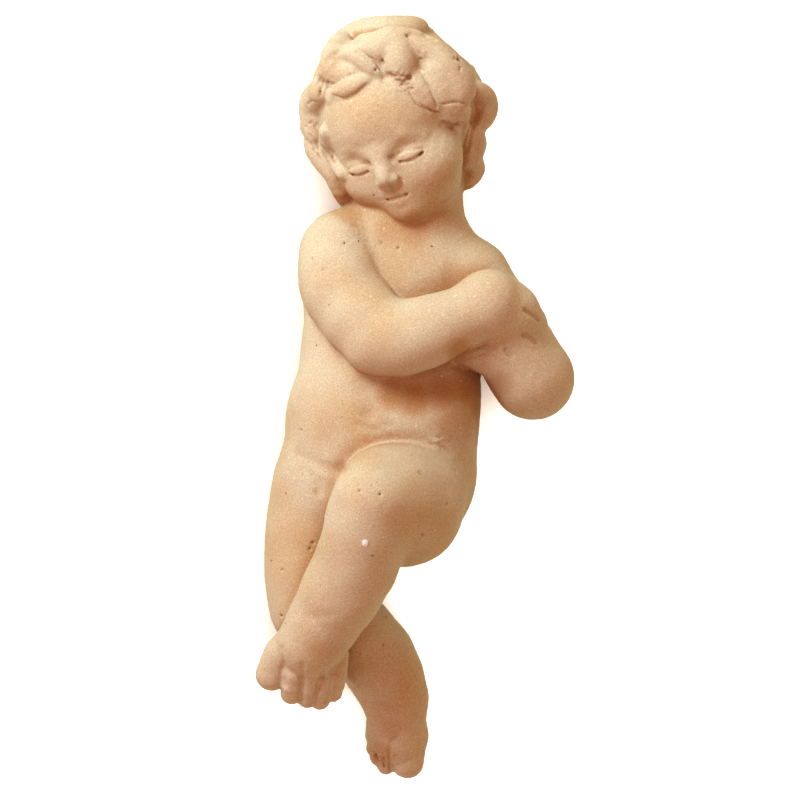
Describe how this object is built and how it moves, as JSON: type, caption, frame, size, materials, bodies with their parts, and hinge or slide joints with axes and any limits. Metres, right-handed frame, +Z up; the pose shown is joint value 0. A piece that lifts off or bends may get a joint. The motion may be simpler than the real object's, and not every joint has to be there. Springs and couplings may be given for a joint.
{
  "type": "infant jesus statue",
  "caption": "Nude infant figure in plain terracotta, lying on its back with arms crossed on the chest and one leg drawn over the other.",
  "frame": {"origin": "middle of the bounding box, on the floor the figure lies on", "axes": "+Y from the feet to the crown of the head, +Z up from the floor, +X towards the figure's left elbow"},
  "size_m": [0.1674, 0.408, 0.1145],
  "materials": {
    "terracotta": "matt, unglazed, fine sandy grain"
  },
  "bodies": {
    "root": {"figure": "terracotta"}
  },
  "joints": []
}
